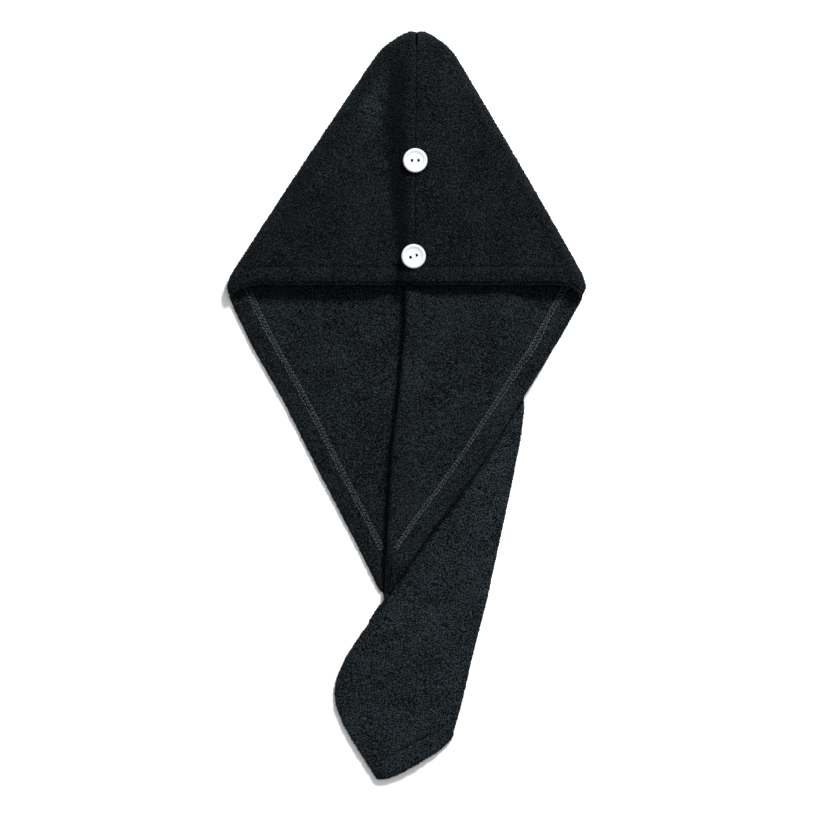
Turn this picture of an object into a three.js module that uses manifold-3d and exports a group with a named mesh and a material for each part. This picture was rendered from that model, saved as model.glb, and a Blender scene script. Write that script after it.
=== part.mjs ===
// A hair turban towel of coral fleece, lying on its back with the hood's front side up.
// Two mirrored panels are sewn together along one centre seam. It runs up the front,
// over the peak, down the back and along the tail. The back is wider than the front,
// so it lies in a flat pleat: the back seam points right under the right-hand layer.
// Millimetres, +Z up, +Y towards the peak. "Down" is the distance below the peak.
import * as THREE from "three";
import { mergeVertices } from "three/addons/utils/BufferGeometryUtils.js";
import Module from "manifold-3d";

// Driving sizes of the towel
const hoodDepth = 221;
const throatDepth = 273;
const tailLength = 156;
const towelWidth = 312;
const clothThickness = 2.5;
const layerGap = 1.7;
const seamGap = 0.3;
const fitGap = 0.3;

// Hood: blunt top, how far the sides bow out, rolled side folds, the rise of the front
// layer, the soft valley in it
const bluntWidth = 41.5;
const topRounding = 22;
const sideBow = 1.3;
const foldRadius = 8.5;
const foldRounding = 12;
const frontRise = 5.5;
const valleyDepth = 3.5;
const cornerRelease = 14;
const cornerSoftness = 2.5;

// Pleat: bend radius at its lip, how far it takes to form, the slope down beside it
const pleatRadius = 2.3;
const pleatStart = 14;
const pleatFull = 42;
const pleatSlope = 20;

// Tail: how soon the side closes below the opening and the share of that in which the
// pleat's lip lies down flat, the tail's soft swell, where its end starts to be round,
// how far that end stands out and how square its round corners are
const closeLength = 30;
const flattened = 0.66;
const tailSwell = 2.2;
const tailEndStart = 0.6;
const tailEndBulge = 6.5;
const tailEndSquareness = 4;

// Turned-in hem of the head opening: the air under it on the slope beside the pleat, from
// and over which shares of the slope, and its ends at the front as shares of the front layer
const hemWidth = 14;
const hemThickness = 2;
const hemInset = 1;
const hemGap = 0.6;
const slopeAir = 2.3;
const slopeAirStart = -0.2;
const slopeAirLength = 1.9;
const hemSeamEnd = 0.01;
const hemFoldEnd = 0.97;

// Buttons and their thread
const buttonDiameter = 21.2;
const buttonThickness = 3.2;
const buttonRimWidth = 2.4;
const buttonDish = 0.8;
const buttonChamfer = 0.3;
const rimInnerDrop = 0.35;
const rimFoot = 1.6;
const seatSamples = 12;
const holeDiameter = 2.3;
const holeSpacing = 5.4;
const threadDiameter = 1.3;
const threadCorner = 1.5;
const buttonDown = [113, 196];
const buttonTurn = [0, 18];

// Front seam: down as a share of the hood's depth, across as a share of half the width
const frontSeamTable = [
  { down: 0, across: 0.057 },
  { down: 0.5, across: 0.0485 },
  { down: 0.88, across: 0.04 },
  { down: 1, across: 0.003 },
];

// Valley left of the front seam: down as a share of the hood's depth,
// offset from the seam and half width as shares of half the towel's width
const valleyTable = [
  { down: 0, offset: 0.09, spread: 0.1 },
  { down: 0.27, offset: 0.14, spread: 0.11 },
  { down: 0.74, offset: 0.095, spread: 0.06 },
  { down: 1, offset: 0.055, spread: 0.035 },
];

// Outline of the opening: down as a share of the throat's depth,
// left and right edge as shares of half the towel's width
const throatTable = [
  { down: 0, left: -1, right: 1 },
  { down: 0.17, left: -0.862, right: 0.833 },
  { down: 0.37, left: -0.667, right: 0.617 },
  { down: 0.6, left: -0.465, right: 0.359 },
  { down: 0.8, left: -0.291, right: 0.108 },
  { down: 1, left: -0.125, right: -0.125 },
];

// Pleat: down as a share of hood and throat together,
// back seam edge and lip as shares of half the towel's width
const pleatTable = [
  { down: 0, seam: 0.057, lip: 0.057 },
  { down: 0.454, seam: 0.493, lip: -0.008 },
  { down: 0.51, seam: 0.6, lip: -0.01 },
  { down: 0.65, seam: 0.658, lip: -0.048 },
  { down: 0.74, seam: 0.624, lip: -0.081 },
  { down: 1, seam: 0.451, lip: -0.125 },
];

// Tail: its under seam and back seam edges, measured from the bottom of the opening.
// Across is a share of the neck's width, down a share of the tail's length.
const tailTable = [
  { along: 0, underAcross: 0, underDown: 0, backAcross: 1, backDown: 0 },
  { along: 0.2, underAcross: -0.227, underDown: 0.194, backAcross: 0.92, backDown: 0.178 },
  { along: 0.4, underAcross: -0.402, underDown: 0.36, backAcross: 0.845, backDown: 0.35 },
  { along: 0.6, underAcross: -0.481, underDown: 0.52, backAcross: 0.79, backDown: 0.49 },
  { along: 0.8, underAcross: -0.392, underDown: 0.7, backAcross: 0.733, backDown: 0.62 },
  { along: 1, underAcross: -0.052, underDown: 1.003, backAcross: 0.659, backDown: 0.752 },
];

// Segments of one cross-section, in order round the towel, and their mesh steps.
// Tail sections have segments 1 to 6, throat sections 1 to 8, hood sections all ten.
const segmentSteps = {
  frontLeft: 9,
  leftFold: 6,
  floor: 6,
  seamLeft: 2,
  seamRight: 2,
  pleatRun: 4,
  lip: 6,
  backRight: 10,
  rightFold: 6,
  frontRight: 9,
};
const segmentNames = Object.keys(segmentSteps);

// Steps crowd towards the front seam, and lie before, on and after the slope at the back
const seamCrowding = 1.5;
const slopeShares = [0, 0.3, 0.7, 1];
const slopeTopLimit = 0.5;
const slopeFootLimit = 0.6;

// Whole segment numbers at which a panel, the opening or the tail starts and ends
const leftPanelStart = 0;
const throatStart = 1;
const backSeam = 4;
const tailEnd = 7;
const throatEnd = 9;
const frontEnd = 10;

const halfWidth = towelWidth / 2;
const halfCloth = clothThickness / 2;
const throatBottom = hoodDepth + throatDepth;
const towelLength = throatBottom + tailLength;
const seamRadius = (clothThickness + layerGap) / 2;
const seamBend = Math.PI * seamRadius;
const lipBend = Math.PI * pleatRadius;
const sideBendLimit = 0.45;
const derivativeStep = 0.01;
const leftSide = -1;
const rightSide = 1;

const clamp = THREE.MathUtils.clamp;
const lerp = THREE.MathUtils.lerp;
const smooth = (value) => THREE.MathUtils.smoothstep(value, 0, 1);
const roundOff = (value) => Math.sqrt(1 - (1 - clamp(value, 0, 1)) ** 2);

// Smooth curve through one column of a table
function readTable(table, key, column, at) {
  const last = table.length - 2;
  let index = 0;
  while (index < last && at > table[index + 1][key]) index += 1;
  const slope = (row) => {
    const before = table[Math.max(row - 1, 0)];
    const after = table[Math.min(row + 1, table.length - 1)];
    return (after[column] - before[column]) / (after[key] - before[key]);
  };
  const start = table[index];
  const end = table[index + 1];
  const span = end[key] - start[key];
  const u = (at - start[key]) / span;
  const startWeight = 2 * u ** 3 - 3 * u ** 2 + 1;
  const endWeight = 3 * u ** 2 - 2 * u ** 3;
  const startPull = (u ** 3 - 2 * u ** 2 + u) * span * slope(index);
  const endPull = (u ** 3 - u ** 2) * span * slope(index + 1);
  return start[column] * startWeight + end[column] * endWeight + startPull + endPull;
}

// Where a strip gets to that starts level and turns evenly on its way
function bend(length, turn, fraction) {
  if (Math.abs(turn) < 1e-6) return [length * fraction, 0];
  const radius = length / turn;
  return [radius * Math.sin(turn * fraction), radius * (1 - Math.cos(turn * fraction))];
}

// How far sideways the outside of such a bend gets
function bendReach(length, turn) {
  return bend(length, turn, Math.min(1, Math.PI / 2 / Math.max(turn, 1e-9)))[0];
}

// Lines that the cross-sections follow, across the towel at a distance down

const peakAcross = frontSeamTable[0].across * halfWidth;
const frontSeamAcross = (down) =>
  readTable(frontSeamTable, "down", "across", down / hoodDepth) * halfWidth;
const backSeamAcross = (down) =>
  readTable(pleatTable, "down", "seam", down / throatBottom) * halfWidth;
const lipAcross = (down) => readTable(pleatTable, "down", "lip", down / throatBottom) * halfWidth;

function outlineAcross(down, side) {
  const corner = cornerSoftness * (1 - clamp(Math.abs(down - hoodDepth) / cornerRelease, 0, 1)) ** 2;
  if (down > hoodDepth) {
    const share = (down - hoodDepth) / throatDepth;
    const edge = readTable(throatTable, "down", side < 0 ? "left" : "right", share) * halfWidth;
    return edge + side * (cornerSoftness * smooth((1 - share) * 2) - corner);
  }
  const top = peakAcross + (side * bluntWidth) / 2;
  const bow = sideBow * Math.sin((Math.PI * down) / hoodDepth) - corner;
  const edge = lerp(top, side * (halfWidth + cornerSoftness), down / hoodDepth) + side * bow;
  return peakAcross + (edge - peakAcross) * roundOff(down / topRounding);
}

// Height of the front layer's middle surface
function frontHeight(across, down, row) {
  const side = across < row.frontSeam ? row.left : row.right;
  const inward = clamp((across - side) / (row.frontSeam - side), 0, 1);
  const share = down / hoodDepth;
  const valleyAt = row.frontSeam - readTable(valleyTable, "down", "offset", share) * halfWidth;
  const spread = readTable(valleyTable, "down", "spread", share) * halfWidth;
  const valley = valleyDepth * Math.exp(-(((across - valleyAt) / spread) ** 2));
  const grown = smooth(share * 4);
  const relief = frontRise * smooth(inward) - valley * smooth(inward * 3);
  return row.floorHeight + 2 * row.foldRadius + grown * relief;
}

// Height of the right back layer, which lies over the pleat and slopes to the floor beside it
function backHeight(across, row) {
  return lerp(row.lipEnd[1], row.floorHeight, smooth((across - slopeStart(row)) / pleatSlope));
}

function slopeStart(row) {
  return Math.max(row.backSeam + halfCloth, row.lipEnd[0]);
}

// Measures of the cross-section at a distance down, across from its left outline
function sectionAt(down) {
  const row = { down, isTail: down > throatBottom };
  const closed = row.isTail ? clamp((down - throatBottom) / closeLength, 0, 1) : 0;
  const released = clamp((down - hoodDepth) / cornerRelease, 0, 1);
  if (row.isTail) {
    const along = (down - throatBottom) / tailLength;
    const neck = backSeamAcross(throatBottom) - lipAcross(throatBottom);
    const tailPoint = (across, drop) =>
      new THREE.Vector2(
        lipAcross(throatBottom) + readTable(tailTable, "along", across, along) * neck,
        -throatBottom - readTable(tailTable, "along", drop, along) * tailLength,
      );
    row.origin = tailPoint("underAcross", "underDown");
    row.direction = tailPoint("backAcross", "backDown").sub(row.origin);
    row.width = row.direction.length();
    row.direction.normalize();
    row.bulge = tailEndBulge * smooth((along - tailEndStart) / (1 - tailEndStart));
    row.left = halfCloth;
    row.backSeam = row.width - halfCloth;
    row.lipEdge = halfCloth;
    row.pleatTurn = Math.PI;
    row.floorHeight = halfCloth;
  } else {
    const outline = outlineAcross(down, leftSide);
    row.origin = new THREE.Vector2(outline, -down);
    row.direction = new THREE.Vector2(1, 0);
    row.width = 1;
    row.bulge = 0;
    const pinch = roundOff((down - halfCloth) / foldRounding);
    row.foldRadius = foldRadius * pinch;
    row.floorHeight = halfCloth + foldRadius - row.foldRadius;
    const opposite = outlineAcross(down, rightSide) - outline;
    row.left = Math.min(halfCloth, opposite / 3);
    row.right = opposite - row.left;
    row.frontSeam = frontSeamAcross(down) - outline;
    const formed = smooth((down - pleatStart) / (pleatFull - pleatStart));
    row.pleatTurn = Math.PI * formed;
    row.backSeam = backSeamAcross(down) - halfCloth * formed - outline;
    row.lipEdge = lipAcross(down) + halfCloth - outline;
    row.formed = formed;
  }
  // Lengths of the bends near the peak shrink with the section
  const reach = row.isTail ? 1 : clamp((row.right - row.backSeam) / (seamBend + lipBend) / 2, 0, 1);
  row.seamBend = seamBend * (down > hoodDepth ? 1 : reach);
  const closing = Math.max(0, (closed - flattened) / (1 - flattened));
  const opened = Math.min(1, closed / flattened);
  row.lipTurn = row.isTail ? lerp(-Math.PI, 0, opened) + (Math.PI / 2) * closing : -row.pleatTurn;
  row.lipBend = lerp(lipBend * (down > hoodDepth ? 1 : reach), seamBend / 2, smooth(opened));
  // Sides: a half round fold on the hood, let go below the corner, closed again on the tail
  row.sideTurn = row.isTail ? Math.max(row.lipTurn, 0) : lerp(Math.PI, 0, smooth(released));
  row.sideBend = row.isTail
    ? seamBend / 2
    : lerp(Math.PI * row.foldRadius, seamBend / 2, smooth(released));
  row.floorStart = row.left + bendReach(row.sideBend, row.sideTurn);
  row.floorEnd = row.backSeam - bend(row.seamBend, row.pleatTurn, 0.5)[0];
  const [bendAcross, bendUp] = bend(row.seamBend, row.pleatTurn, 1);
  row.runStart = [row.floorEnd + bendAcross, row.floorHeight + bendUp];
  const lipOut = Math.abs(bend(row.lipBend, row.lipTurn, row.lipTurn < 0 ? 0.5 : 1)[0]);
  const room = Math.max(row.runStart[0] - row.lipEdge - lipOut, 0);
  const run = room * (row.isTail ? 1 : row.formed ** 2);
  row.lipStart = [
    row.runStart[0] + run * Math.cos(row.pleatTurn),
    row.runStart[1] + run * Math.sin(row.pleatTurn),
  ];
  row.lipEnd = lipPoint(row, 1);
  if (!row.isTail) {
    const most = Math.max(row.right - row.lipEnd[0], 0) * sideBendLimit;
    row.rightTurn = row.sideTurn;
    row.rightBend = down > hoodDepth ? Math.min(row.sideBend, most) : row.sideBend;
    row.backEnd = Math.max(row.right - bendReach(row.rightBend, row.rightTurn), row.lipEnd[0]);
  }
  return row;
}

function lipPoint(row, fraction) {
  const [along, off] = bend(row.lipBend, row.lipTurn, fraction);
  const cos = Math.cos(row.pleatTurn);
  const sin = Math.sin(row.pleatTurn);
  return [row.lipStart[0] + along * cos - off * sin, row.lipStart[1] + along * sin + off * cos];
}

// Across and height of the cloth's middle surface on one segment of a cross-section
const segmentPoint = {
  frontLeft(row, fraction) {
    const across = lerp(row.frontSeam, row.floorStart, fraction ** seamCrowding);
    return [across, frontHeight(across, row.down, row)];
  },
  leftFold(row, fraction) {
    const [out, up] = bend(row.sideBend, row.sideTurn, 1 - fraction);
    return [row.floorStart - out, row.floorHeight + up];
  },
  floor(row, fraction) {
    return [lerp(row.floorStart, row.floorEnd, fraction), row.floorHeight];
  },
  seamLeft(row, fraction) {
    const [out, up] = bend(row.seamBend, row.pleatTurn, fraction / 2);
    return [row.floorEnd + out, row.floorHeight + up];
  },
  seamRight(row, fraction) {
    const [out, up] = bend(row.seamBend, row.pleatTurn, 0.5 + fraction / 2);
    return [row.floorEnd + out, row.floorHeight + up];
  },
  pleatRun(row, fraction) {
    const closed = row.isTail ? smooth((row.down - throatBottom) / closeLength) : 0;
    const swell = tailSwell * closed * Math.sin(Math.PI * fraction) ** 2;
    const across = lerp(row.runStart[0], row.lipStart[0], fraction);
    return [across, lerp(row.runStart[1], row.lipStart[1], fraction) + swell];
  },
  lip: lipPoint,
  backRight(row, fraction) {
    const [before, end] = [row.lipEnd[0], row.backEnd];
    const slopeTop = Math.min(slopeStart(row), lerp(before, end, slopeTopLimit));
    const slopeFoot = Math.min(slopeTop + pleatSlope, lerp(slopeTop, end, slopeFootLimit));
    const knots = [before, slopeTop, slopeFoot, end];
    const part = fraction < slopeShares[1] ? 0 : fraction < slopeShares[2] ? 1 : 2;
    const within = (fraction - slopeShares[part]) / (slopeShares[part + 1] - slopeShares[part]);
    const across = lerp(knots[part], knots[part + 1], within);
    return [across, backHeight(across, row)];
  },
  rightFold(row, fraction) {
    const [out, up] = bend(row.rightBend, row.rightTurn, fraction);
    return [row.backEnd + out, backHeight(row.backEnd, row) + up];
  },
  frontRight(row, fraction) {
    const across = lerp(row.backEnd, row.frontSeam, 1 - (1 - fraction) ** seamCrowding);
    return [across, frontHeight(across, row.down, row)];
  },
};

// A point given across a section and by its height, placed in the towel's frame
function place(row, across, height) {
  const share = row.isTail ? clamp(across / row.width, 0, 1) : 0;
  const bulge = row.bulge * (1 - Math.abs(2 * share - 1) ** tailEndSquareness);
  return new THREE.Vector3(
    row.origin.x + row.direction.x * across + row.direction.y * bulge,
    row.origin.y + row.direction.y * across - row.direction.x * bulge,
    height,
  );
}

// Middle surface of the cloth: down the towel, and along the section in whole segments
function clothPoint(down, along) {
  const row = sectionAt(down);
  const index = clamp(Math.floor(along), firstSegment(down), lastSegment(down) - 1);
  const [across, height] = segmentPoint[segmentNames[index]](row, along - index);
  return place(row, across, height);
}

function lastSegment(down) {
  if (down <= hoodDepth) return frontEnd;
  return down < throatBottom ? throatEnd : tailEnd;
}

function firstSegment(down) {
  return down <= hoodDepth ? leftPanelStart : throatStart;
}

// Unit vector out of the cloth's outer face, and the unit vector along the section
function clothFrame(down, along) {
  const before = Math.max(along - derivativeStep, firstSegment(down));
  const after = Math.min(along + derivativeStep, lastSegment(down));
  const forward = clothPoint(down, after).sub(clothPoint(down, before)).normalize();
  const isFront = along < throatStart || along > throatEnd;
  const isThroat = along > tailEnd;
  const lowest = isFront ? hoodDepth : isThroat ? throatBottom : towelLength;
  const above = clothPoint(Math.max(down - derivativeStep * 10, halfCloth * 1.02), along);
  const below = clothPoint(Math.min(down + derivativeStep * 10, lowest), along);
  const outward = new THREE.Vector3().crossVectors(forward, below.sub(above)).normalize();
  return { outward, forward };
}

// Closed solid of a cloth sheet, from its middle surface as triangles with a direction out
class Sheet {
  constructor() {
    this.points = [];
    this.outward = [];
    this.triangles = [];
    this.keys = new Map();
  }

  addPoint(point, outward) {
    const key = point.toArray().map((value) => Math.round(value * 1000)).join(" ");
    if (this.keys.has(key)) return this.keys.get(key);
    this.points.push(point);
    this.outward.push(outward);
    this.keys.set(key, this.points.length - 1);
    return this.points.length - 1;
  }

  addTriangle(a, b, c) {
    if (a !== b && b !== c && c !== a) this.triangles.push([a, b, c]);
  }

  addQuad(a, b, c, d) {
    this.addTriangle(a, b, c);
    this.addTriangle(a, c, d);
  }

  solid(thickness) {
    const moved = (distance) =>
      this.points.map((point, i) => point.clone().addScaledVector(this.outward[i], distance));
    const outer = moved(thickness / 2);
    const inner = moved(-thickness / 2);
    const count = outer.length;
    const index = [];
    const edges = new Map();
    for (const [a, b, c] of this.triangles) {
      index.push(a, b, c, count + a, count + c, count + b);
      for (const [from, to] of [[a, b], [b, c], [c, a]]) {
        edges.set(`${from} ${to}`, [from, to]);
      }
    }
    // Both panels' edges are closed with the same diagonal, so that their seam gap stays even
    for (const [from, to] of edges.values()) {
      if (edges.has(`${to} ${from}`)) continue;
      const downward = this.points[to].y < this.points[from].y;
      if (downward) index.push(to, from, count + from, to, count + from, count + to);
      else index.push(to, from, count + to, from, count + from, count + to);
    }
    const geometry = new THREE.BufferGeometry();
    const positions = [...outer, ...inner].flatMap((point) => point.toArray());
    geometry.setAttribute("position", new THREE.Float32BufferAttribute(positions, 3));
    geometry.setIndex(index);
    return geometry;
  }
}

// Distances down at which the sections are taken: rounded top, hood, opening, tail
function sectionStations() {
  const spread = (from, to, count, power = 1) =>
    Array.from({ length: count }, (_, i) =>
      i + 1 < count ? lerp(from, to, ((i + 1) / count) ** power) : to,
    );
  return [
    ...spread(halfCloth, topRounding, 6, 2),
    ...spread(topRounding, pleatFull, 5),
    ...spread(pleatFull, hoodDepth, 8),
    ...spread(hoodDepth, hoodDepth + cornerRelease, 4),
    ...spread(hoodDepth + cornerRelease, throatBottom, 13),
    ...spread(throatBottom, throatBottom + closeLength * flattened, 4),
    throatBottom + closeLength,
    ...spread(throatBottom + closeLength, towelLength, 8),
  ];
}

// Places along a section between two whole segment numbers
function segmentStations(from, to) {
  const stations = [from];
  for (let index = from; index < to; index += 1) {
    const steps = segmentSteps[segmentNames[index]];
    for (let step = 1; step <= steps; step += 1) stations.push(index + step / steps);
  }
  return stations;
}

// One panel: every section's points between its two free edges, set back half a seam gap
function panel(from, to, side) {
  const sheet = new Sheet();
  const peak = new THREE.Vector3(peakAcross + (side * seamGap) / 2, -halfCloth, halfCloth + foldRadius);
  const peakIndex = sheet.addPoint(peak, new THREE.Vector3(0, 1, 0));
  const columns = segmentStations(from, to);
  let previous = columns.map(() => peakIndex);
  for (const down of sectionStations()) {
    const first = Math.max(from, firstSegment(down));
    const last = Math.min(to, lastSegment(down));
    const current = columns.map((along) => {
      if (along < first - 1e-9 || along > last + 1e-9) {
        const closesHere = down === throatBottom && along > last;
        if (!closesHere) return -1;
      }
      const at = clamp(along, first, last);
      const { outward, forward } = clothFrame(down, at);
      const point = clothPoint(down, at);
      if (at === first) point.addScaledVector(forward, seamGap / 2);
      if (at === last) point.addScaledVector(forward, -seamGap / 2);
      return sheet.addPoint(point, outward);
    });
    for (let column = 0; column + 1 < columns.length; column += 1) {
      const corners = [previous[column], current[column], current[column + 1], previous[column + 1]];
      if (corners.every((corner) => corner >= 0)) {
        sheet.addQuad(corners[0], corners[3], corners[2], corners[1]);
      }
    }
    previous = current;
  }
  return sheet.solid(clothThickness);
}

// A hem strip lies on the cloth's inner face, a small gap away from it.
// stripPoint gives the cloth's middle surface under it, down the towel and across the strip.
function hem(stripPoint, stripFrame, downStations, acrossSteps) {
  const sheet = new Sheet();
  const offset = halfCloth + hemGap + hemThickness / 2;
  const rows = downStations.map((down) =>
    Array.from({ length: acrossSteps + 1 }, (_, step) => {
      const share = step / acrossSteps;
      const outward = stripFrame(down, share);
      return sheet.addPoint(stripPoint(down, share).addScaledVector(outward, -offset), outward);
    }),
  );
  for (let row = 0; row + 1 < rows.length; row += 1) {
    for (let step = 0; step < acrossSteps; step += 1) {
      const [upper, lower] = [rows[row], rows[row + 1]];
      sheet.addQuad(upper[step], upper[step + 1], lower[step + 1], lower[step]);
    }
  }
  return sheet.solid(hemThickness);
}

// Hem inside the front edge, from the front seam to where the side fold starts
function frontHem(side) {
  const along = (share) =>
    side < 0
      ? clamp(share, hemSeamEnd, hemFoldEnd)
      : frontEnd - 1 + clamp(share, 1 - hemFoldEnd, 1 - hemSeamEnd);
  const top = hoodDepth - hemInset - hemWidth;
  const stations = [top, top + hemWidth / 2, top + hemWidth];
  return hem(
    (down, share) => clothPoint(down, along(share)),
    (down, share) => clothFrame(down, along(share)).outward,
    stations,
    segmentSteps.frontLeft,
  );
}

// Hem along one side of the opening. It narrows where the pleat leaves it less room.
function throatHem(side) {
  const start = hoodDepth + cornerRelease;
  const slant = Math.hypot(1, (halfWidth * (1 + throatTable.at(-1).left)) / throatDepth);
  const acrossAt = (row, share) => {
    const room = side < 0 ? row.lipEdge - clothThickness - row.left : row.right - row.lipEnd[0];
    const width = Math.min(hemWidth * slant, room - hemInset * 2);
    const edge = side < 0 ? row.left : row.right;
    return edge - side * (hemInset + width * (side < 0 ? share : 1 - share));
  };
  const surface = (down, shareAcross) => {
    const row = sectionAt(down);
    const across = acrossAt(row, shareAcross);
    if (side < 0) return place(row, across, row.floorHeight);
    // The strip bridges the slope beside the pleat with a little more air under it
    const share = (across - slopeStart(row)) / pleatSlope - slopeAirStart;
    const air = slopeAir * Math.sin(Math.PI * clamp(share / slopeAirLength, 0, 1));
    return place(row, across, backHeight(across, row) + air);
  };
  const frame = (down, share) => {
    const across = surface(down, share + derivativeStep).sub(surface(down, share - derivativeStep));
    const downward = surface(down + derivativeStep, share).sub(surface(down - derivativeStep, share));
    return new THREE.Vector3().crossVectors(across, downward).normalize();
  };
  const end = throatBottom - closeLength;
  const steps = 18;
  const stations = Array.from({ length: steps + 1 }, (_, step) => lerp(start, end, step / steps));
  return hem(surface, frame, stations, 4);
}

// Solids that are cut or joined

const wasm = await Module();
wasm.setup();

function toManifold(geometry) {
  const bare = geometry.clone();
  bare.deleteAttribute("normal");
  bare.deleteAttribute("uv");
  const merged = mergeVertices(bare, 1e-4);
  return new wasm.Manifold(
    new wasm.Mesh({
      numProp: 3,
      vertProperties: new Float32Array(merged.attributes.position.array),
      triVerts: new Uint32Array(merged.index.array),
    }),
  );
}

function toGeometry(solid) {
  const mesh = solid.getMesh();
  const geometry = new THREE.BufferGeometry();
  geometry.setAttribute("position", new THREE.Float32BufferAttribute(mesh.vertProperties, 3));
  geometry.setIndex([...mesh.triVerts]);
  return geometry;
}

// Highest point of the front layer's outer face under a round piece on the front seam
function frontSeat(down, radius) {
  let highest = 0;
  for (let step = 0; step < seatSamples; step += 1) {
    const angle = (step * Math.PI * 2) / seatSamples;
    const row = sectionAt(down + radius * Math.sin(angle));
    const across = row.frontSeam + radius * Math.cos(angle);
    highest = Math.max(highest, frontHeight(across, row.down, row));
  }
  const middle = sectionAt(down);
  highest = Math.max(highest, frontHeight(middle.frontSeam, down, middle));
  return highest + halfCloth;
}

// Button: a low disc with a raised round rim, a dished middle and two holes
function button() {
  const radius = buttonDiameter / 2;
  const edge = buttonThickness / 3;
  const profile = [
    [0, 0],
    [radius - edge, 0],
    [radius - edge * buttonChamfer, edge * buttonChamfer],
    [radius, edge],
    [radius, buttonThickness - edge],
    [radius - edge * buttonChamfer, buttonThickness - edge * buttonChamfer],
    [radius - edge, buttonThickness],
    [radius - buttonRimWidth, buttonThickness - buttonDish * rimInnerDrop],
    [radius - buttonRimWidth * rimFoot, buttonThickness - buttonDish],
    [0, buttonThickness - buttonDish],
  ].map(([across, up]) => new THREE.Vector2(across, up));
  const disc = new THREE.LatheGeometry(profile, 24);
  disc.rotateX(Math.PI / 2);
  let solid = toManifold(disc);
  for (const side of [-1, 1]) {
    const hole = new THREE.CylinderGeometry(holeDiameter / 2, holeDiameter / 2, buttonThickness * 3, 8);
    hole.rotateX(Math.PI / 2);
    hole.translate((side * holeSpacing) / 2, 0, buttonThickness / 2);
    solid = solid.subtract(toManifold(hole));
  }
  return toGeometry(solid);
}

// Thread: down through both holes, bridging them on top of the button
function buttonThread() {
  const radius = threadDiameter / 2;
  const reach = holeSpacing / 2;
  const top = buttonThickness - buttonDish + fitGap + radius;
  const corner = radius * threadCorner;
  const path = new THREE.CurvePath();
  const point = (across, up) => new THREE.Vector3(across, 0, up);
  for (const side of [leftSide, rightSide]) {
    const upright = point(side * reach, top - corner);
    const level = point(side * (reach - corner), top);
    const turn = point(side * reach, top);
    if (side === leftSide) {
      path.add(new THREE.LineCurve3(point(-reach, 0), upright));
      path.add(new THREE.QuadraticBezierCurve3(upright, turn, level));
      path.add(new THREE.LineCurve3(level, point(reach - corner, top)));
    } else {
      path.add(new THREE.QuadraticBezierCurve3(level, turn, upright));
      path.add(new THREE.LineCurve3(upright, point(reach, 0)));
    }
  }
  const section = new THREE.Shape();
  section.absarc(0, 0, radius, 0, Math.PI * 2);
  return new THREE.ExtrudeGeometry(section, {
    extrudePath: path,
    steps: 12,
    curveSegments: 3,
    bevelEnabled: false,
  });
}

const colours = { fleece: 0x1b2022, hem: 0x202628, button: 0xe9ecf0, thread: 0xf2f2ee };

function namedMesh(name, geometry, colour, roughness) {
  const material = new THREE.MeshStandardMaterial({ color: colour, roughness, metalness: 0 });
  const mesh = new THREE.Mesh(geometry, material);
  mesh.name = name;
  return mesh;
}

const towel = new THREE.Group();
const clothRoughness = 0.95;
const addCloth = (name, geometry, colour) =>
  towel.add(namedMesh(name, geometry, colour, clothRoughness));
addCloth("left_panel", panel(leftPanelStart, backSeam, leftSide), colours.fleece);
addCloth("right_panel", panel(backSeam, frontEnd, rightSide), colours.fleece);
addCloth("front_hem_left", frontHem(leftSide), colours.hem);
addCloth("front_hem_right", frontHem(rightSide), colours.hem);
addCloth("throat_hem_left", throatHem(leftSide), colours.hem);
addCloth("throat_hem_right", throatHem(rightSide), colours.hem);

["upper", "lower"].forEach((name, index) => {
  const down = buttonDown[index];
  const seat = frontSeat(down, buttonDiameter / 2) + fitGap;
  const fastening = new THREE.Group();
  fastening.add(namedMesh(`${name}_button`, button(), colours.button, 0.35));
  fastening.add(namedMesh(`${name}_button_thread`, buttonThread(), colours.thread, 0.9));
  fastening.position.set(frontSeamAcross(down), -down, seat);
  fastening.rotation.z = THREE.MathUtils.degToRad(buttonTurn[index]);
  towel.add(fastening);
});

// The origin is under the middle of the whole towel
towel.updateMatrixWorld(true);
const extent = new THREE.Box3().setFromObject(towel);
towel.position.set(-(extent.min.x + extent.max.x) / 2, -(extent.min.y + extent.max.y) / 2, 0);

export default towel;
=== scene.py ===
# A hair turban towel of dark coral fleece, laid flat on its back on a pale floor.
# The cloth follows the frame's cross-sections, in millimetres, with turned hems, seam
# allowances, soft swells, stitches and pile. Meshes are written in metres.
import math

import bpy
import numpy as np
from mathutils import Matrix, Vector, noise
from mathutils.bvhtree import BVHTree
from mathutils.kdtree import KDTree


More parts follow.
